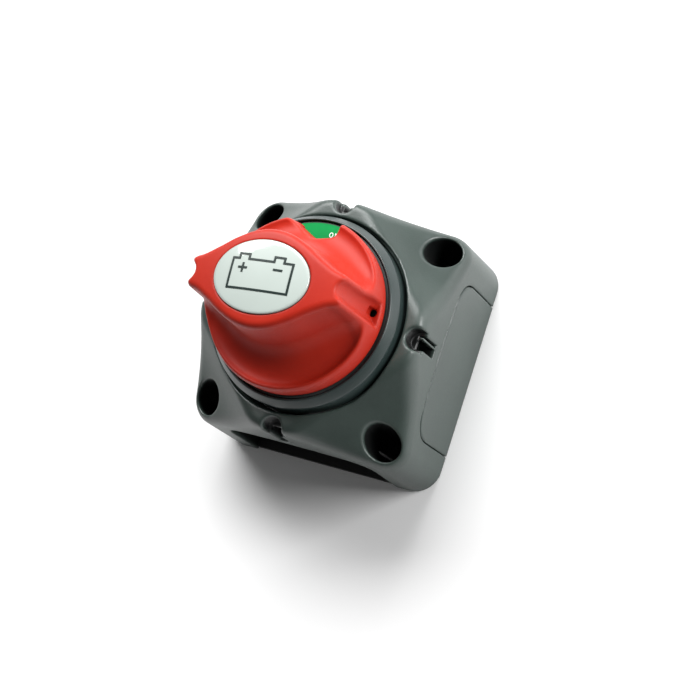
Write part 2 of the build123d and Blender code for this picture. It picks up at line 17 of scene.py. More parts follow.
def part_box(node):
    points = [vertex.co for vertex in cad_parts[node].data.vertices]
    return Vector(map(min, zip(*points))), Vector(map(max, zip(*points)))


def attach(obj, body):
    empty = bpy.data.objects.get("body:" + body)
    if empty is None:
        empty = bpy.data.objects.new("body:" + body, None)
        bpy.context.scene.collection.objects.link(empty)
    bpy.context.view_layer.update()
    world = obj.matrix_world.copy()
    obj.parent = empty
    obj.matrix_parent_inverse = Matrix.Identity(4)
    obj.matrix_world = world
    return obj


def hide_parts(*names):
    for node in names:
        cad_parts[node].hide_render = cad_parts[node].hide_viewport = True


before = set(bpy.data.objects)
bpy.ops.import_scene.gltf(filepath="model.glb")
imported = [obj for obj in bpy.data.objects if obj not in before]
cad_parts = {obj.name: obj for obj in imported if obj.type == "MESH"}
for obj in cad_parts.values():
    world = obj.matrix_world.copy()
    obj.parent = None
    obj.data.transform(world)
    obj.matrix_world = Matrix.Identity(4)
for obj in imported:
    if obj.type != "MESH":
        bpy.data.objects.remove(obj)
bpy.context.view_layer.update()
MM = 0.001

# %% [markdown]
# ## Surfaces from distance fields
#
# A moulded hood with scooped corners, holes and rounded ridges could be built
# from a cage with subdivision, or cut out with booleans and bevelled.  Here we
# describe each moulding as a *distance field* instead: a function that is
# negative inside the plastic and positive outside.  Fields can be joined,
# crossed and cut with plain arithmetic, and a "soft" minimum or maximum rounds
# the edge between two of them by a radius that we choose.  That is just what a
# toolmaker does to a mould, so the result has believable edges everywhere.

# %% Arithmetic of fields


def soft_max(a, b, round_mm):
    """The larger of two fields, with the edge between them rounded."""
    reach = np.maximum(round_mm - np.abs(a - b), 0.0) / round_mm
    return np.maximum(a, b) + reach * reach * round_mm / 4.0


def soft_min(a, b, round_mm):
    """The smaller of two fields, with the corner between them filled."""
    return -soft_max(-a, -b, round_mm)


def cut(solid, tool, round_mm):
    """Take one field out of another, leaving a rounded edge."""
    return soft_max(solid, -tool, round_mm)


def rounded_box(x, y, half_x, half_y, radius):
    """Distance to a rectangle with round corners, centred on the origin."""
    dx = np.abs(x) - half_x + radius
    dy = np.abs(y) - half_y + radius
    outside = np.hypot(np.maximum(dx, 0.0), np.maximum(dy, 0.0))
    return outside + np.minimum(np.maximum(dx, dy), 0.0) - radius


print("soft edge at a meeting of two walls:", soft_max(np.array(0.0), np.array(0.0), 2.0))

# %% [markdown]
# To turn a field into a mesh we walk over a grid of small cells.  Wherever the
# field changes sign on the edges of a cell, the surface passes through it and
# the cell gets one vertex, the middle of the crossings.  Every crossed edge
# then joins the four cells around it with a quad.  This is known as a surface
# net.  The vertices are last pulled exactly onto the surface along the slope
# of the field, which makes flat faces flat and rounds smooth.

# %% The surface net


def crossings(values, axis):
    """Where the field changes sign along one axis, and how far along."""
    start = np.take(values, range(values.shape[axis] - 1), axis)
    end = np.take(values, range(1, values.shape[axis]), axis)
    crossed = (start < 0) != (end < 0)
    share = np.where(crossed, start / np.where(crossed, start - end, 1.0), 0.0)
    return crossed, share, start < 0


def surface_net(field, low, high, step):
    """Vertices and quads of the zero surface of a field, in millimetres."""
    axes = [np.arange(a, b + step, step) for a, b in zip(low, high)]
    grid = np.meshgrid(*axes, indexing="ij", sparse=True)
    values = np.broadcast_to(field(*grid), [len(a) for a in axes]).astype(np.float32)
    cells = tuple(n - 1 for n in values.shape)
    total = np.zeros((3,) + cells, np.float32)
    count = np.zeros(cells, np.int16)
    found = []
    for axis in range(3):
        crossed, share, inward = crossings(values, axis)
        found.append((crossed, inward))
        others = [a for a in range(3) if a != axis]
        for first in (0, 1):
            for second in (0, 1):
                window = [slice(0, n) for n in cells]
                window[others[0]] = slice(first, first + cells[others[0]])
                window[others[1]] = slice(second, second + cells[others[1]])
                hit = crossed[tuple(window)]
                count += hit
                total[axis] += share[tuple(window)]
                total[others[0]] += first * hit
                total[others[1]] += second * hit
    where = np.argwhere(count > 0)
    number = np.full(cells, -1, np.int64)
    number[tuple(where.T)] = np.arange(len(where))
    middle = (total[:, count > 0] / count[count > 0]).T
    points = np.array(low) + (where + middle) * step
    quads = []
    for axis in range(3):
        crossed, inward = found[axis]
        a, b = [n for n in range(3) if n != axis]
        inner = [slice(0, n) for n in cells]
        inner[a] = slice(1, cells[a])
        inner[b] = slice(1, cells[b])
        hits = np.argwhere(crossed[tuple(inner)])
        hits[:, a] += 1
        hits[:, b] += 1
        facing = inward[tuple(hits.T)]
        ring = []
        for back_a, back_b in ((1, 1), (0, 1), (0, 0), (1, 0)):
            corner = hits.copy()
            corner[:, a] -= back_a
            corner[:, b] -= back_b
            ring.append(number[tuple(corner.T)])
        quad = np.stack(ring, 1)
        flip = facing if axis == 1 else ~facing
        quad[flip] = quad[flip][:, ::-1]
        quads.append(quad)
    return points, np.concatenate(quads)


def pull_onto(field, points, step, rounds=2):
    """Slide points along the field's slope until they lie on its surface."""
    small = 0.02
    for _ in range(rounds):
        x, y, z = points.T
        here = field(x, y, z)
        slope = np.stack(
            [
                field(x + small, y, z) - here,
                field(x, y + small, z) - here,
                field(x, y, z + small) - here,
            ],
            1,
        )
        slope /= small
        length = np.maximum((slope**2).sum(1), 0.2)
        move = -(here / length)[:, None] * slope
        points = points + np.clip(move, -0.4 * step, 0.4 * step)
    return points


print("a surface net is ready")

# %% [markdown]
# Blender wants metres and a mesh object.  One helper makes the object and shades
# it smooth; another gives the piece its material, ties it to the body that it
# rides on and hides the engineering nodes that it replaces.

# %% From points to a piece of the object


def dress(piece, body, nodes, material):
    """Tie a piece to its body and finish."""
    piece.data.materials.clear()
    piece.data.materials.append(material)
    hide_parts(*nodes)
    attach(piece, body)
    return piece


def mesh_piece(name, points, faces, smooth=True):
    """A mesh object from points in millimetres."""
    mesh = bpy.data.meshes.new(name)
    places = [tuple(p) for p in np.asarray(points) * MM]
    corner_lists = [tuple(int(i) for i in face) for face in faces]
    mesh.from_pydata(places, [], corner_lists)
    mesh.update()
    if smooth:
        mesh.shade_smooth()
    piece = bpy.data.objects.new(name, mesh)
    bpy.context.scene.collection.objects.link(piece)
    return piece


def field_piece(name, field, low, high, step):
    """A moulded piece from its distance field."""
    points, quads = surface_net(field, low, high, step)
    points = pull_onto(field, points, step)
    piece = mesh_piece(name, points, quads)
    print(f"{name}: {len(points)} points, {len(quads)} quads")
    return piece


def mark_depth(piece, depth):
    """Store how deep each point lies under the outer skin, in millimetres."""
    points = np.array([vertex.co for vertex in piece.data.vertices]) / MM
    values = np.asarray(depth(*points.T), np.float32)
    piece.data.attributes.new("depth", "FLOAT", "POINT").data.foreach_set("value", values)


def rest_turn(points, degrees_round):
    """Turn points about the knob's axis."""
    angle = math.radians(degrees_round)
    turned = np.array(points, float)
    turned[:, 0] = points[:, 0] * math.cos(angle) - points[:, 1] * math.sin(angle)
    turned[:, 1] = points[:, 0] * math.sin(angle) + points[:, 1] * math.cos(angle)
    return turned


# %% [markdown]
# ## Materials
#
# A procedural material is a small sum: noise added to a colour, a mask that
# mixes two roughnesses.  Writing that sum as a row of node calls hides it, so
# one small class wraps a socket and lets us write `0.5 + 0.2 * noise` as
# ordinary Python.  Colours go through Mix nodes, because a Math node would
# turn them grey.

# %% Shader arithmetic


class Value:
    """A node socket that can be added, multiplied and compared."""

    def __init__(self, tree, socket):
        self.tree = tree
        self.socket = socket

    def math(self, operation, other, swap=False, clamp=False):
        pair = (other, self) if swap else (self, other)
        return self.tree.node("Math", {"operation": operation, "use_clamp": clamp}, {0: pair[0], 1: pair[1]})

    def __add__(self, other):
        return self.math("ADD", other)

    def __radd__(self, other):
        return self.math("ADD", other, swap=True)

    def __sub__(self, other):
        return self.math("SUBTRACT", other)

    def __rsub__(self, other):
        return self.math("SUBTRACT", other, swap=True)

    def __mul__(self, other):
        return self.math("MULTIPLY", other)

    def __rmul__(self, other):
        return self.math("MULTIPLY", other, swap=True)

    def __truediv__(self, other):
        return self.math("DIVIDE", other)

    def __pow__(self, other):
        return self.math("POWER", other)

    def step(self, low, high):
        """Rise smoothly from 0 to 1 between two values."""
        settings = {"interpolation_type": "SMOOTHSTEP"}
        return self.tree.node("MapRange", settings, {"Value": self, "From Min": low, "From Max": high})


class Shader:
    """A material with one Principled shader and short ways to feed it."""

    def __init__(self, name, **constants):
        self.material = bpy.data.materials.new(name)
        self.material.use_nodes = True
        self.tree = self.material.node_tree
        self.shader = self.tree.nodes["Principled BSDF"]
        for socket, value in constants.items():
            self.shader.inputs[socket.replace("_", " ")].default_value = value

    def node(self, kind, settings=None, inputs=None, output=0):
        """Add any node: its settings first, then its sockets."""
        made = self.tree.nodes.new("ShaderNode" + kind)
        for key, value in (settings or {}).items():
            setattr(made, key, value)
        for key, value in (inputs or {}).items():
            if isinstance(value, Value):
                self.tree.links.new(value.socket, made.inputs[key])
            else:
                made.inputs[key].default_value = value
        return Value(self, made.outputs[output])

    def place(self):
        """Where a point is on the object, in metres."""
        return self.node("TexCoord", output="Object")

    def noise(self, size_mm, detail=3.0, where=None):
        """Noise from 0 to 1 whose blotches are about this large."""
        return self.node(
            "TexNoise",
            {"noise_dimensions": "3D"},
            {
                "Vector": where or self.place(),
                "Scale": 1.0 / (size_mm * MM),
                "Detail": detail,
                "Roughness": 0.55,
            },
        )

    def mix(self, share, first, second):
        """Blend two colours."""
        made = self.tree.nodes.new("ShaderNodeMix")
        made.data_type = "RGBA"
        for key, value in ((0, share), (6, first), (7, second)):
            if isinstance(value, Value):
                self.tree.links.new(value.socket, made.inputs[key])
            else:
                made.inputs[key].default_value = value
        return Value(self, made.outputs[2])

    def edges(self, radius_mm):
        """About 1 where the surface turns a corner, 0 where it is flat."""
        bevel = self.node("Bevel", {"samples": 6}, {"Radius": radius_mm * MM})
        normal = self.node("NewGeometry", output="Normal")
        dot = self.node("VectorMath", {"operation": "DOT_PRODUCT"}, {0: bevel, 1: normal}, output="Value")
        return (1.0 - dot).step(0.01, 0.16)

    def feed(self, **links):
        """Connect values to the shader's own sockets."""
        for socket, value in links.items():
            self.tree.links.new(value.socket, self.shader.inputs[socket.replace("_", " ")])
        return self

    def bump(self, height, distance_mm, strength=1.0):
        """Raise the surface a little where height is large."""
        made = self.node("Bump", {}, {"Height": height, "Distance": distance_mm * MM, "Strength": strength})
        return self.feed(Normal=made)


def paint(red, green, blue):
    """A colour from how it looks on screen (sRGB, 0 to 255)."""
    linear = []
    for channel in (red, green, blue):
        share = channel / 255.0
        linear.append(share / 12.92 if share <= 0.04045 else ((share + 0.055) / 1.055) ** 2.4)
    return (*linear, 1.0)


print("dark slate in linear light:", [round(c, 3) for c in paint(84, 92, 92)])

# %% [markdown]
# The hood is a glass filled plastic with a fine spark-eroded texture: matt, a
# little bluish, and slightly polished where hands and cloths rub its ridges.
# Two noises do most of the work, a very fine one for the texture and a broad
# one for the uneven flow of the plastic.  In the hood's hollows the colour is
# painted nearly black as shade.

# %% Plastics


def textured_plastic(
    name, dark, light, grain_mm, grain_depth, roughness, rub=0.12, shine=0.5, painted_hollow_shade=False
):
    """Satin plastic with an eroded texture, rubbed edges and perhaps painted shade in its hollows."""
    look = Shader(name, Specular_IOR_Level=shine)
    grain = look.noise(grain_mm, detail=2.0)
    cloud = look.noise(16.0, detail=3.0)
    fleck = look.noise(0.9, detail=4.0)
    worn = look.edges(1.2) * look.noise(3.0).step(0.35, 0.7)
    base = look.mix(cloud.step(0.3, 0.7) * 0.6 + fleck * 0.4, dark, light)
    rubbed = tuple(min(1.0, c * 1.35) for c in light[:3]) + (1.0,)
    colour = look.mix(worn * rub * 4.0, base, rubbed)
    if painted_hollow_shade:
        # Painted shade: more than about a millimetre under the outer skin (wells, entries, inner walls) the
        # colour is painted nearly black.
        depth = look.node("Attribute", {"attribute_name": "depth"}, output="Fac")
        colour = look.mix(depth.step(0.5, 1.5), colour, paint(10, 12, 12))
    uneven = roughness + 0.16 * (grain - 0.5) + 0.08 * (cloud - 0.5) - rub * worn
    look.feed(Base_Color=colour, Roughness=uneven)
    look.bump(grain + 0.3 * fleck, grain_depth)
    return look.material


hood_plastic = textured_plastic(
    "hood_plastic", paint(42, 54, 50), paint(54, 67, 62), 0.4, 0.03, 0.42, shine=0.75, painted_hollow_shade=True
)
collar_plastic = textured_plastic("collar_plastic", paint(34, 46, 45), paint(46, 58, 57), 0.3, 0.01, 0.33)
inner_plastic = textured_plastic("inner_plastic", paint(12, 13, 14), paint(20, 21, 22), 0.3, 0.02, 0.6)
disc_plastic = textured_plastic("disc_plastic", paint(48, 54, 54), paint(60, 66, 66), 0.3, 0.01, 0.5)
knob_plastic = textured_plastic(
    "knob_plastic", paint(166, 32, 17), paint(180, 41, 23), 0.35, 0.014, 0.46, rub=0.05, shine=0.26
)
print("plastics:", hood_plastic.name, collar_plastic.name, inner_plastic.name, knob_plastic.name)

# %% [markdown]
# Printed colours are thin and flat, with a slightly uneven ink.

# %% Inks, metals and rubber


def ink(name, colour, roughness=0.42, shine=0.4):
    """Screen printed colour."""
    look = Shader(name, Specular_IOR_Level=shine)
    spread = look.noise(1.6, detail=3.0)
    paler = tuple(min(1.0, c * 1.18 + 0.004) for c in colour[:3]) + (1.0,)
    look.feed(Base_Color=look.mix(spread, colour, paler), Roughness=roughness + 0.1 * (spread - 0.5))
    look.bump(look.noise(0.3), 0.004)
    return look.material


def metal(name, colour, roughness, scratch_mm=0.3, tarnish=0.25):
    """Plated or bare metal with fine marks and a little tarnish."""
    look = Shader(name, Metallic=1.0)
    marks = look.noise(scratch_mm, detail=5.0)
    stain = look.noise(3.5, detail=4.0).step(0.4, 0.75)
    worn = look.edges(0.4)
    dull = tuple(c * 0.55 for c in colour[:3]) + (1.0,)
    bright = tuple(min(1.0, c * 1.15) for c in colour[:3]) + (1.0,)
    body = look.mix(stain * tarnish, colour, dull)
    uneven = roughness + 0.15 * stain + 0.12 * (marks - 0.5)
    look.feed(Base_Color=look.mix(worn * 0.6, body, bright), Roughness=uneven)
    look.bump(marks, 0.01)
    return look.material


green_ink = ink("green_ink", paint(0, 136, 66), 0.6, 0.12)
red_ink = ink("red_ink", paint(170, 18, 20), 0.6, 0.12)
white_ink = ink("white_ink", paint(228, 240, 232))
symbol_ink = ink("symbol_ink", paint(26, 40, 37), 0.3)
steel = metal("stainless_steel", (0.62, 0.61, 0.59, 1.0), 0.28)
tin = metal("tinned_copper", (0.68, 0.66, 0.63, 1.0), 0.34)
zinc = metal("zinc_plate", (0.66, 0.66, 0.68, 1.0), 0.36)
copper = metal("copper_bar", (0.86, 0.47, 0.31, 1.0), 0.3)
brass = metal("brass", (0.80, 0.62, 0.30, 1.0), 0.32)
wire = metal("spring_wire", (0.55, 0.55, 0.55, 1.0), 0.3)
rubber = textured_plastic("seal_rubber", paint(14, 14, 14), paint(24, 24, 24), 0.3, 0.02, 0.6, rub=0.02)
print("metals:", steel.name, tin.name, zinc.name, copper.name, brass.name, wire.name)

# %% [markdown]
# The label is a drop of clear resin over a pale print.  A coat does that job
# without a second transparent piece: the coat carries the sharp gloss, and the
# print below stays soft.

# %% The label's resin


def resin_label(name, colour):
    """Pale print under clear resin."""
    look = Shader(name, Coat_Weight=1.0, Coat_Roughness=0.05, Coat_IOR=1.5)
    cloud = look.noise(9.0, detail=2.0)
    paler = tuple(min(1.0, c * 1.08) for c in colour[:3]) + (1.0,)
    look.feed(Base_Color=look.mix(cloud, colour, paler), Roughness=0.32 + 0.1 * look.noise(2.0))
    look.bump(look.noise(5.0, detail=1.0), 0.02, 0.4)
    return look.material


label_resin = resin_label("label_resin", paint(176, 186, 180))
print("label:", label_resin.name)

# %% [markdown]
# ## The hood
#
# The hood is a square cap, open at the back.  Each corner is scooped away: a
# steep slope that turns into a shallow one, so that the mounting screws sit
# low and can be reached beside the knob.  We take its size from the
# engineering frame and write the outside as one field.  The inside is the same
# field moved in by the wall's thickness, which is how a real moulding keeps an
# even wall.

# %% Sizes of the hood
high_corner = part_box("housing")[1]
half_side = high_corner.x / MM
front = high_corner.z / MM
draft = math.tan(math.radians(1.5))
corner_round = 7.5
wall = 2.5
steep = (27.0, 1.15)
shallow = (44.5, 26.8, 0.4)
hole_place = 27.3
head_hole = 4.65
screw_hole = 2.65
screw_shelf = 5.0
column = 6.65
entry_half = 22.5
entry_crown = 25.8
entry_shoulder = 24.2
seam = 0.25
opening = 28.2
opening_step = 39.3
opening_neck = 27.4
neck_middle = 28.6
neck_half = 1.2
neck_bottom = 37.3
notch_centre = 32.4
notch_radius = 3.0
notch_floor = 37.0
notch_box_back = 28.3
notch_box_half = 4.6
notch_box_bottom = 27.6
slot_half = 1.9
slot_back = 31.2
slot_bottom = 29.6
undercut_back = 27.5
undercut_top = 35.8
rib_centre = 32.6
rib_offset = 0.9
rib_half_length = 0.8
rib_half_width = 0.28
rib_bottom = 29.0
tall_rib = 39.0
short_rib = 35.0
print("hood:", round(2 * half_side, 2), "mm square,", round(front, 2), "mm high")

# %% [markdown]
# The two slopes of a corner are planes that face along the diagonal, so one
# folded coordinate serves all four corners.  The arch of a cable entry is
# written here too, because the wall and the panels both need it.

# %% The outside of the hood as a field


def scoop_field(x, y, z):
    """The two slopes of a corner, which meet in a long round."""
    along = (np.abs(x) + np.abs(y)) / math.sqrt(2)
    steep_plane = (z - front + steep[1] * (along - steep[0])) / math.hypot(1, steep[1])
    shallow_plane = (z - shallow[1] + shallow[2] * (along - shallow[0])) / math.hypot(1, shallow[2])
    return soft_min(steep_plane, shallow_plane, 5.0)


def hood_outside(x, y, z):
    """Negative inside the solid block that the hood is hollowed from."""
    sides = rounded_box(x, y, half_side - draft * z, half_side - draft * z, corner_round - draft * z)
    front_face = soft_max(z - front, scoop_field(x, y, z), 1.6)
    return soft_max(sides, front_face, 3.0)


def entry_shape(along, z, grow=0.0):
    """The arched outline of a cable entry."""
    rise = entry_crown - entry_shoulder
    arch_radius = (entry_half**2 + rise**2) / (2 * rise)
    arch = np.hypot(along, z - entry_crown + arch_radius) - arch_radius
    return soft_max(np.abs(along) - entry_half, arch, 7.5) - grow


print("outside field at the middle of the front:", round(float(hood_outside(0.0, 0.0, front)), 3))

# %% [markdown]
# Four columns carry the mounting screws, a neck ring surrounds the round
# opening, and a small box behind each clip notch keeps the wiring space
# closed.  Because everything is a field, each of these is one line, and the
# notches are written once and folded to all four sides.

# %% The whole hood


def hood_field(x, y, z):
    """The hood: wall, columns, neck and notch boxes, less all the openings."""
    outside = hood_outside(x, y, z)
    radius = np.hypot(x, y)
    fold_x, fold_y = np.abs(x), np.abs(y)
    along = np.maximum(fold_x, fold_y)
    across = np.minimum(fold_x, fold_y)
    to_column = np.hypot(fold_x - hole_place, fold_y - hole_place)
    skin = -(outside + wall)
    columns = to_column - column
    neck = np.maximum(np.abs(radius - neck_middle) - neck_half, neck_bottom - z)
    notch_sides = np.maximum(notch_box_back - along, across - notch_box_half)
    notch_box = np.maximum(notch_sides, notch_box_bottom - z)
    body = soft_min(soft_min(skin, columns, 1.2), soft_min(neck, notch_box, 0.8), 0.8)
    solid = soft_max(soft_max(outside, -z, 0.6), body, 0.4)
    round_opening = np.minimum(np.maximum(radius - opening, opening_step - z), radius - opening_neck)
    solid = cut(solid, round_opening, 0.7)
    head = np.maximum(to_column - head_hole, screw_shelf - z)
    solid = cut(solid, np.minimum(head, to_column - screw_hole), 0.8)
    pocket = np.maximum(np.hypot(along - notch_centre, across) - notch_radius, notch_floor - z)
    undercut = np.maximum(z - undercut_top, undercut_back - along)
    slot_sides = np.maximum(across - slot_half, slot_bottom - z)
    slot = np.maximum(slot_sides, np.minimum(slot_back - along, undercut))
    solid = cut(solid, pocket, 0.7)
    solid = cut(solid, slot, 0.35)
    side = np.where(fold_x > fold_y, np.sign(x) * y, -np.sign(y) * x)
    rib_top = np.where(x > 30.0, tall_rib, short_rib)
    rib_sides = np.abs(side - rib_offset) - rib_half_width
    rib_ends = np.abs(along - rib_centre) - rib_half_length
    rib = np.maximum(np.maximum(rib_sides, rib_ends), np.maximum(z - rib_top, rib_bottom - z))
    solid = soft_min(solid, rib, 0.2)
    right_left = np.maximum(entry_shape(y, z, seam), notch_box_back - fold_x)
    top_bottom = np.maximum(entry_shape(x, z, seam), notch_box_back - fold_y)
    return cut(solid, np.minimum(right_left, top_bottom), 0.35)


hood_step = 0.42
hood_low = (-half_side - 1.0, -half_side - 1.0, -1.0)
hood_high = (half_side + 1.0, half_side + 1.0, front + 1.0)
hood = field_piece("hood", hood_field, hood_low, hood_high, hood_step)
# This depth drives the painted shade in the hood's hollows; inside the round opening it stays zero, so no
# shade is painted there.
mark_depth(hood, lambda x, y, z: np.where(np.hypot(x, y) < 29.0, 0.0, -hood_outside(x, y, z)))
dress(hood, "base", ["housing"], hood_plastic)
print("hood:", len(hood.data.polygons), "faces")

# %% [markdown]
# Three flat panels close the cable entries on the right, on the left and at
# the top; the lowest one has been taken out for the cables.  Each is the arched
# outline pressed into the wall, so its face follows the wall's draft, with a
# hairline seam around it.  Behind it a flange hooks over the edge of the opening.

# %% Entry panels


def panel_field(along, out, z):
    """One panel, seen with its face outwards."""
    face = out - (half_side - draft * z)
    plate = np.maximum(np.maximum(face, -face - 2.2), entry_shape(along, z))
    backing = np.maximum(np.abs(along) - 20.3, np.maximum(z - 27.2, 2.8 - z))
    flange = np.maximum(backing, np.abs(out - 29.95) - 0.6)
    block = np.maximum(np.maximum(np.abs(along) - 19.3, np.abs(z - 12.1) - 8.1), np.abs(out - 31.0) - 1.5)
    solid = soft_min(plate, soft_min(flange, block, 0.3), 0.3)
    return soft_max(solid, -z, 0.4)


panel_step = 0.45
panel_low = (-23.5, 28.6, -0.6)
panel_high = (23.5, 35.2, 28.0)
for node, bearing in {"side_panel_top": 0, "side_panel_left": 90, "side_panel_right": -90}.items():
    points, quads = surface_net(panel_field, panel_low, panel_high, panel_step)
    points = pull_onto(panel_field, points, panel_step)
    panel = mesh_piece(node.replace("side_panel", "entry_panel"), rest_turn(points, bearing), quads)
    dress(panel, "base", [node], hood_plastic)
    print(panel.name, len(quads), "quads")

# %% [markdown]
# ## Turned pieces
#
# The collar, the disc and the washers are round, so a lathe is the natural
# way: draw half the section once and spin it.  A helper rounds the corners of
# the section first, because even a small round catches the light.

# %% A lathe


def rounded_section(corners, radius, steps=4):
    """A closed section whose corners are rounded by up to this radius."""
    smooth = []
    total = len(corners)
    for index in range(total):
        before = Vector(corners[index - 1])
        here = Vector(corners[index])
        after = Vector(corners[(index + 1) % total])
        reach = min(radius, 0.45 * (before - here).length, 0.45 * (after - here).length)
        start = here + (before - here).normalized() * reach
        end = here + (after - here).normalized() * reach
        for k in range(steps + 1):
            t = k / steps
            point = (1 - t) ** 2 * start + 2 * t * (1 - t) * here + t * t * end
            smooth.append((point.x, point.y))
    return smooth


def spin(section, segments, centre=(0.0, 0.0)):
    """Points and quads of a section (radius, height) spun about an upright axis."""
    count = len(section)
    points = []
    for turn in range(segments):
        angle = 2 * math.pi * turn / segments
        for radius, height in section:
            x = centre[0] + radius * math.cos(angle)
            y = centre[1] + radius * math.sin(angle)
            points.append((x, y, height))
    faces = []
    for turn in range(segments):
        here = turn * count
        there = (turn + 1) % segments * count
        for k in range(count):
            step_on = (k + 1) % count
            faces.append((here + k, there + k, there + step_on, here + step_on))
    return points, faces


def join(parts):
    """Several (points, faces) lists as one."""
    points, faces = [], []
    for some_points, some_faces in parts:
        start = len(points)
        points.extend(some_points)
        faces.extend(tuple(i + start for i in face) for face in some_faces)
    return points, faces


print("corners in a rounded square:", len(rounded_section([(0, 0), (1, 0), (1, 1), (0, 1)], 0.2)))

# %% [markdown]
# The collar stands around the knob's skirt.  Its section is a stepped ring with
# a thin raised lip, and its floor reaches in to the shaft.

# %% The collar around the knob
collar_section = [
    (6.1, 40.3),
    (23.7, 40.3),
    (23.7, 33.9),
    (27.2, 33.9),
    (27.2, 44.1),
    (25.6, 46.8),
    (25.1, 46.8),
    (25.1, 44.0),
    (6.1, 44.0),
]
collar_points, collar_faces = spin(rounded_section(collar_section, 0.35), 288)
collar = mesh_piece("collar_ring", collar_points, collar_faces)
dress(collar, "base", ["collar"], collar_plastic)
print("collar ring:", len(collar_faces), "quads")

# %% [markdown]
# ## The knob
#
# Seen from above the grip is an eye: wide round the oval label, pinched to
# narrow ends.  From that crest the sides fall steeply and then flare into two
# hollows for the fingers, and around everything runs a rim.  The outline is a
# smooth curve through a few points of one quarter, mirrored twice, and the
# distance to it is the heart of the knob's field.

# %% The grip's outline
grip_quarter = [(0.0, 13.3), (5.0, 12.5), (10.0, 10.2), (14.5, 7.3), (18.5, 5.0), (21.0, 4.1), (22.4, 3.0)]
grip_tip = 22.9


def smooth_loop(corners, per_span=14):
    """A closed curve through points (Catmull and Rom's spline)."""
    loop = []
    total = len(corners)
    for index in range(total):
        p0, p1, p2, p3 = (np.array(corners[(index + k) % total]) for k in (-1, 0, 1, 2))
        for k in range(per_span):
            t = k / per_span
            curve = 2 * p1 + (p2 - p0) * t
            curve = curve + (2 * p0 - 5 * p1 + 4 * p2 - p3) * t**2
            curve = curve + (3 * p1 - p0 - 3 * p2 + p3) * t**3
            loop.append(0.5 * curve)
    return np.array(loop)


first = [(grip_tip, 0.0)] + grip_quarter[::-1]
second = [(-x, y) for x, y in grip_quarter[1:]]
upper_half = first + second
lower_half = [(-x, -y) for x, y in upper_half]
grip_loop = smooth_loop(upper_half + lower_half)
print("grip outline:", len(grip_loop), "points, half width", round(grip_loop[:, 1].max(), 2))

# %% [markdown]
# The distance from a point to a closed outline is the least of its distances
# to all the short edges.  Its sign comes from counting how many edges lie to
# one side of the point: an odd count means that the point is inside.

# %% Distance to an outline


def loop_distance(loop, x, y):
    """Signed distance from points to a closed outline, negative inside."""
    x, y = np.broadcast_arrays(np.asarray(x, float), np.asarray(y, float))
    best = np.full(x.shape, 1e9)
    inside = np.zeros(x.shape, bool)
    for start, end in zip(loop, np.roll(loop, -1, 0)):
        edge = end - start
        share = ((x - start[0]) * edge[0] + (y - start[1]) * edge[1]) / (edge @ edge)
        share = np.clip(share, 0.0, 1.0)
        gap_x = x - start[0] - share * edge[0]
        gap_y = y - start[1] - share * edge[1]
        best = np.minimum(best, gap_x**2 + gap_y**2)
        if start[1] != end[1]:
            spans = (start[1] > y) != (end[1] > y)
            cross_x = start[0] + (y - start[1]) * edge[0] / edge[1]
            inside ^= spans & (x < cross_x)
    return np.where(inside, -1.0, 1.0) * np.sqrt(best)


print("outline distance at the middle:", round(float(loop_distance(grip_loop, 0.0, 0.0)), 2))

# %% [markdown]
# The distance to the outline is looked up from a fine table rather than worked
# out again for every cell of the grid, which makes the knob a hundred times
# quicker to build.

# %% A table of distances
table_step = 0.2
table_reach = 28.0
table_axis = np.arange(-table_reach, table_reach + table_step, table_step)
table = loop_distance(grip_loop, *np.meshgrid(table_axis, table_axis, indexing="ij"))


def grip_distance(x, y):
    """Distance to the grip's outline, read between the table's entries."""
    x, y = np.broadcast_arrays(x, y)
    column = np.clip((x + table_reach) / table_step, 0, len(table_axis) - 2.001)
    row = np.clip((y + table_reach) / table_step, 0, len(table_axis) - 2.001)
    i, j = column.astype(int), row.astype(int)
    s, t = column - i, row - j
    low = table[i, j] * (1 - t) + table[i, j + 1] * t
    high = table[i + 1, j] * (1 - t) + table[i + 1, j + 1] * t
    return low * (1 - s) + high * s


print("table of distances:", table.shape, "entries")

# %% [markdown]
# The knob joins an eye-shaped grip to a dished rim with a soft minimum, which
# leaves the smooth hollows for the fingers.  Then the channels at its ends, the
# window in the rim, the hollow inside and the seat of the label are cut out.

# %% The knob as a field
knob_bottom = 46.65
skirt_radius = 24.5
rim_radius = 25.1
rim_height = 49.6
crest_radius = 23.9
crest_height = 53.4
crown = 73.6
crown_round = 82.5
sweep_round = 9.5
sweep_top = 60.6
label_long = 13.5
label_short = 9.87


def grip_field(x, y, z):
    """Eye-shaped grip with a crowned top and flaring sides."""
    sweep = np.clip(sweep_top - z, 0.0, sweep_round - 0.05)
    flare = 0.05 * (crown - z) + sweep_round - np.sqrt(sweep_round**2 - sweep**2)
    steep = sweep / np.sqrt(sweep_round**2 - sweep**2) + 0.05
    sides = (grip_distance(x, y) - flare) / np.sqrt(1 + steep**2)
    top = z - crown + (x**2 + y**2) / (2 * crown_round)
    return soft_max(sides, top, 1.8)


def bowl_field(radius, z):
    """Rim with its outer band, and the floor of the finger hollows."""
    slope = (rim_radius - crest_radius) / (crest_height - rim_height)
    upper_band = (radius - rim_radius + slope * (z - rim_height)) / math.hypot(1, slope)
    dish = 50.6 + 0.135 * np.maximum(radius - 19.3, 0.0) ** 2
    return soft_max(upper_band, (z - dish) * 0.75, 1.1)


def window_field(x, y, rise):
    """The notch in the rim that shows the disc: one long side, one steep one."""
    long_side = (19.8 - 1.8 * rise - 0.62 * x - y) / math.hypot(1, 0.62)
    foot = 18.5 - 1.4 * rise + 0.2 * x - y
    steep_side = x - 0.24 * (y - 21.0) - 6.6 - 1.8 * rise
    return soft_max(soft_max(long_side, foot, 1.6), steep_side, 1.6)


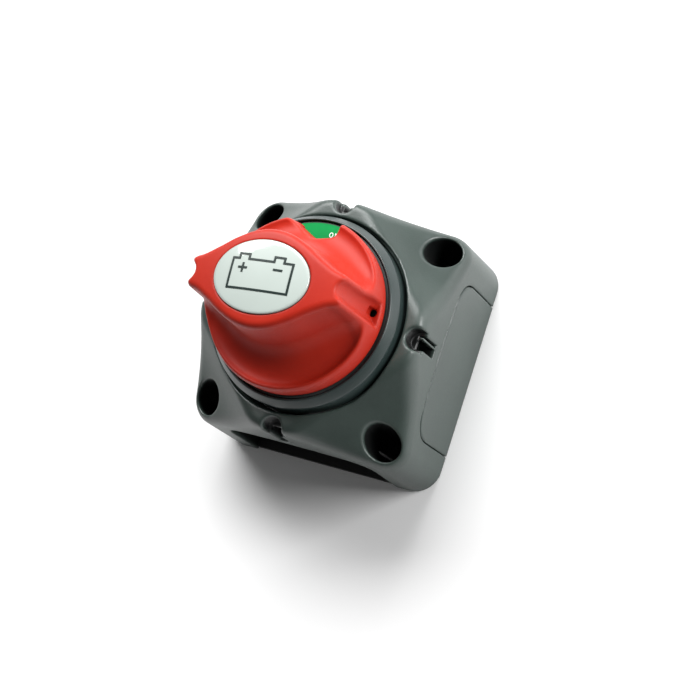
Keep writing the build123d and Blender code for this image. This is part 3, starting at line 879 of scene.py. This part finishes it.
def knob_field(x, y, z):
    """The whole knob, before it is turned to its rest position."""
    radius = np.hypot(x, y)
    cone = (radius - rim_radius + 0.12 * (z - rim_height)) / math.hypot(1, 0.12)
    grip = soft_max(grip_field(x, y, z), cone, 1.0)
    skirt_slope = (rim_radius - skirt_radius) / (rim_height - knob_bottom)
    skirt = (radius - skirt_radius) - (z - knob_bottom) * skirt_slope
    limit = soft_max(skirt, cone, 2.6)
    solid = soft_max(soft_min(grip, bowl_field(radius, z), 3.8), limit, 0.8)
    solid = soft_max(solid, knob_bottom - z, 0.5)
    lean = np.clip((76.0 - z) / 26.1, 0.0, 1.2)
    channel = np.hypot(np.abs(x) - 22.5 - 2.9 * lean, y) - 2.6 - 0.8 * lean
    channel = np.maximum(channel, 49.9 - z)
    solid = cut(solid, channel, 0.9)
    drain = np.maximum(np.hypot(np.abs(x) - 22.2, y - 0.6) - 1.1, z - 52.5)
    solid = cut(solid, drain, 0.3)
    rise = (z - knob_bottom) / (crest_height + 1 - knob_bottom)
    solid = cut(solid, window_field(x, y, rise), 0.8)
    inner_x = 19.0 - 2.8 * (z - 48.6) / 19.9
    inner_y = 11.4 - 2.0 * (z - 48.6) / 19.9
    oval = (np.hypot(x / inner_x, y / inner_y) - 1.0) * inner_y
    hollow = np.maximum(oval, z - 68.5)
    hollow = np.minimum(hollow, np.maximum(radius - 22.6, z - 48.6))
    hollow = np.maximum(hollow, 8.6 - radius)
    solid = cut(solid, hollow, 0.4)
    socket = np.maximum(np.maximum(np.abs(x), np.abs(y)) - 4.25, z - 59.8)
    seat = np.maximum(radius - 4.6, 62.2 - z)
    solid = cut(solid, np.minimum(np.minimum(socket, seat), radius - 2.6), 0.2)
    pocket = (np.hypot(x / (label_long + 0.1), y / (label_short + 0.1)) - 1.0) * label_short
    return cut(solid, np.maximum(pocket, 72.0 - z), 0.35)


on_turn = 4.5
knob_step = 0.32
knob_low = (-rim_radius - 0.7, -rim_radius - 0.7, knob_bottom - 0.7)
knob_high = (rim_radius + 0.7, rim_radius + 0.7, crown + 0.8)
knob_points, knob_quads = surface_net(knob_field, knob_low, knob_high, knob_step)
knob_points = pull_onto(knob_field, knob_points, knob_step)
knob = mesh_piece("red_knob", rest_turn(knob_points, on_turn), knob_quads)
dress(knob, "knob", ["knob"], knob_plastic)
print("knob:", len(knob_quads), "quads")

# %% [markdown]
# ## The label
#
# The oval label stands just proud of the grip and bulges like a drop.  Its
# battery sign is drawn as raised lines that follow the bulge: a box, two
# terminals, a plus and a minus.

# %% The domed label
sphere = 91.0
label_peak = 73.9


def dome_height(x, y):
    """Height of the label's face."""
    return label_peak - sphere + math.sqrt(sphere**2 - x * x - y * y)


def domed_disc(rings, spokes):
    """Points and faces of the oval drop with a rounded edge."""
    points = [(0.0, 0.0, dome_height(0.0, 0.0))]
    shares = [k / rings for k in range(1, rings)] + [0.985, 0.996, 1.0, 1.0]
    drops = [0.0] * (rings - 1) + [0.03, 0.12, 0.3, 1.0]
    for share, drop in zip(shares, drops):
        for k in range(spokes):
            angle = 2 * math.pi * k / spokes
            x = label_long * share * math.cos(angle)
            y = label_short * share * math.sin(angle)
            z = dome_height(x, y) - drop if drop < 1.0 else 72.0
            points.append((x, y, z))
    faces = [(0, 1 + k, 1 + (k + 1) % spokes) for k in range(spokes)]
    for ring in range(len(shares) - 1):
        here = 1 + ring * spokes
        for k in range(spokes):
            after = (k + 1) % spokes
            faces.append((here + k, here + spokes + k, here + spokes + after, here + after))
    last = 1 + (len(shares) - 1) * spokes
    faces.append(tuple(last + k for k in reversed(range(spokes))))
    return points, faces


label_points, label_faces = domed_disc(16, 128)
label = mesh_piece("domed_label", rest_turn(np.array(label_points), on_turn), label_faces)
dress(label, "knob", ["label_dome"], label_resin)
print("label:", len(label_faces), "faces")

# %% [markdown]
# The sign is built from flat bars whose corners take their height from the
# same dome, so that they follow the bulge of the label.

# %% The battery sign


def raised_bar(x0, y0, x1, y1, lift=0.1, spans=12):
    """A flat bar that follows the dome, as points and faces."""
    points, faces = [], []
    for k in range(spans + 1):
        t = k / spans
        long_way = abs(x1 - x0) > abs(y1 - y0)
        for side in (0, 1):
            x = x0 + (x1 - x0) * (t if long_way else side)
            y = y0 + (y1 - y0) * (side if long_way else t)
            for height in (-0.05, lift):
                points.append((x, y, dome_height(x, y) + height))
    for k in range(spans):
        a = 4 * k
        for p, q in ((0, 1), (1, 3), (3, 2), (2, 0)):
            faces.append((a + p, a + 4 + p, a + 4 + q, a + q))
    faces.append((0, 1, 3, 2))
    faces.append((4 * spans + 2, 4 * spans + 3, 4 * spans + 1, 4 * spans))
    return points, faces


line = 0.58
box_x, box_low, box_high = 8.85, -4.15, 4.35
post_half, post_rise = 1.68, 1.3
bars = [
    raised_bar(-box_x, box_low, box_x, box_low + line),
    raised_bar(-box_x, box_low + line, -box_x + line, box_high - line),
    raised_bar(box_x - line, box_low + line, box_x, box_high - line),
]
start = -box_x
for post in (-5.4, 4.6):
    left, right = post - post_half, post + post_half
    bars.append(raised_bar(start, box_high - line, left + line, box_high))
    bars.append(raised_bar(left, box_high, left + line, box_high + post_rise - line))
    bars.append(raised_bar(right - line, box_high, right, box_high + post_rise - line))
    bars.append(raised_bar(left, box_high + post_rise - line, right, box_high + post_rise))
    start = right - line
bars.append(raised_bar(start, box_high - line, box_x, box_high))
bars.append(raised_bar(-6.6, 1.7 - line / 2, -4.0, 1.7 + line / 2))
bars.append(raised_bar(-5.3 - line / 2, 1.7 + line / 2, -5.3 + line / 2, 3.0))
bars.append(raised_bar(-5.3 - line / 2, 0.4, -5.3 + line / 2, 1.7 - line / 2))
bars.append(raised_bar(3.4, 2.0 - line / 2, 6.0, 2.0 + line / 2))
sign_points, sign_faces = join(bars)
sign = mesh_piece("battery_sign", rest_turn(np.array(sign_points), on_turn), sign_faces, smooth=False)
dress(sign, "knob", ["battery_symbol"], symbol_ink)
print("battery sign:", len(bars), "bars")

# %% [markdown]
# ## Pieces that keep their engineering shape
#
# Flat prints, and the parts that sit deep inside, are already right as they
# come from the engineering frame.  They only need a finish.

# %% Finishes for the engineering pieces
finishes = {
    "status_disc": disc_plastic,
    "on_sector": green_ink,
    "off_sector": red_ink,
    "position_lettering": white_ink,
    "rear_cover": inner_plastic,
    "contact_base": inner_plastic,
    "case_screws": zinc,
    "shaft_seal": rubber,
    "terminal_studs": tin,
    "flat_washers": steel,
    "spring_washers": steel,
    "terminal_nuts": steel,
    "knob_screw": zinc,
    "rotor": inner_plastic,
    "stem_insert": brass,
    "bridge_spring": wire,
    "contact_bridge": copper,
}
for node, material in finishes.items():
    node_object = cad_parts[node]
    node_object.data.materials.clear()
    node_object.data.materials.append(material)
print("finishes:", len(finishes))

# %% [markdown]
# ## The table top, the light and the camera
#
# The switch lies on its back on a plain pale surface, large enough for its
# edge to stay out of view.

# %% Floor
floor_mesh = bpy.data.meshes.new("floor")
reach = 3.0
floor_corners = [(-reach, -reach, 0), (reach, -reach, 0), (reach, reach, 0), (-reach, reach, 0)]
floor_mesh.from_pydata(floor_corners, [], [(0, 1, 2, 3)])
floor = bpy.data.objects.new("floor", floor_mesh)
bpy.context.scene.collection.objects.link(floor)
floor_look = Shader("pale_floor", Specular_IOR_Level=0.1)
floor_cloud = floor_look.noise(400.0)
floor_look.feed(Base_Color=floor_look.mix(floor_cloud, (0.93, 0.93, 0.93, 1), (0.95, 0.95, 0.95, 1)))
floor_look.shader.inputs["Roughness"].default_value = 0.9
floor_mesh.materials.append(floor_look.material)
print("floor:", 2 * reach, "m square")

# %% [markdown]
# A wide soft light stands high above the top edge, a little to the left, and
# gives the ridges their highlights.  A weaker one on the right fills the right
# wall.  The pale world behind them only lifts the shadows.

# %% Lights


def soft_light(name, place_mm, aim_mm, wide_mm, tall_mm, watts):
    """An area light aimed at a point, its long edge level."""
    light = bpy.data.lights.new(name, "AREA")
    light.shape = "RECTANGLE"
    light.size = wide_mm * MM
    light.size_y = tall_mm * MM
    light.energy = watts
    holder = bpy.data.objects.new(name, light)
    place = Vector(place_mm) * MM
    holder.location = place
    holder.rotation_euler = (Vector(aim_mm) * MM - place).to_track_quat("-Z", "Y").to_euler()
    bpy.context.scene.collection.objects.link(holder)
    return holder


soft_light("key_light", (-235, 570, 600), (0, 0, 50), 900, 460, 13.5)
soft_light("right_light", (640, 260, 330), (0, 0, 30), 360, 360, 5.5)
world = bpy.data.worlds.new("studio")
world.use_nodes = True
world.node_tree.nodes["Background"].inputs["Color"].default_value = (1.0, 1.0, 1.0, 1.0)
world.node_tree.nodes["Background"].inputs["Strength"].default_value = 0.16
bpy.context.scene.world = world
bpy.context.scene.view_settings.view_transform = "Standard"
print("lights:", [thing.name for thing in bpy.data.lights])

# %% [markdown]
# The camera stands half a metre away, a little to the right and below, and is
# rolled, so the switch appears turned in the frame.  Its axes are written out
# directly: right, up and backwards.

# %% Camera
camera_data = bpy.data.cameras.new("camera")
camera_data.sensor_width = 36.0
camera_data.lens = 84.2
camera_data.clip_end = 20.0
camera = bpy.data.objects.new("camera", camera_data)
bpy.context.scene.collection.objects.link(camera)
right_way = Vector((0.88150, 0.30549, -0.36005))
up_way = Vector((-0.21120, 0.93708, 0.27799))
back_way = right_way.cross(up_way)
camera.matrix_world = Matrix(
    (
        (right_way.x, up_way.x, back_way.x, 198.76 * MM),
        (right_way.y, up_way.y, back_way.y, -80.47 * MM),
        (right_way.z, up_way.z, back_way.z, 428.49 * MM),
        (0, 0, 0, 1),
    )
)
bpy.context.scene.camera = camera
print("camera distance:", round(camera.matrix_world.translation.length, 3), "m")
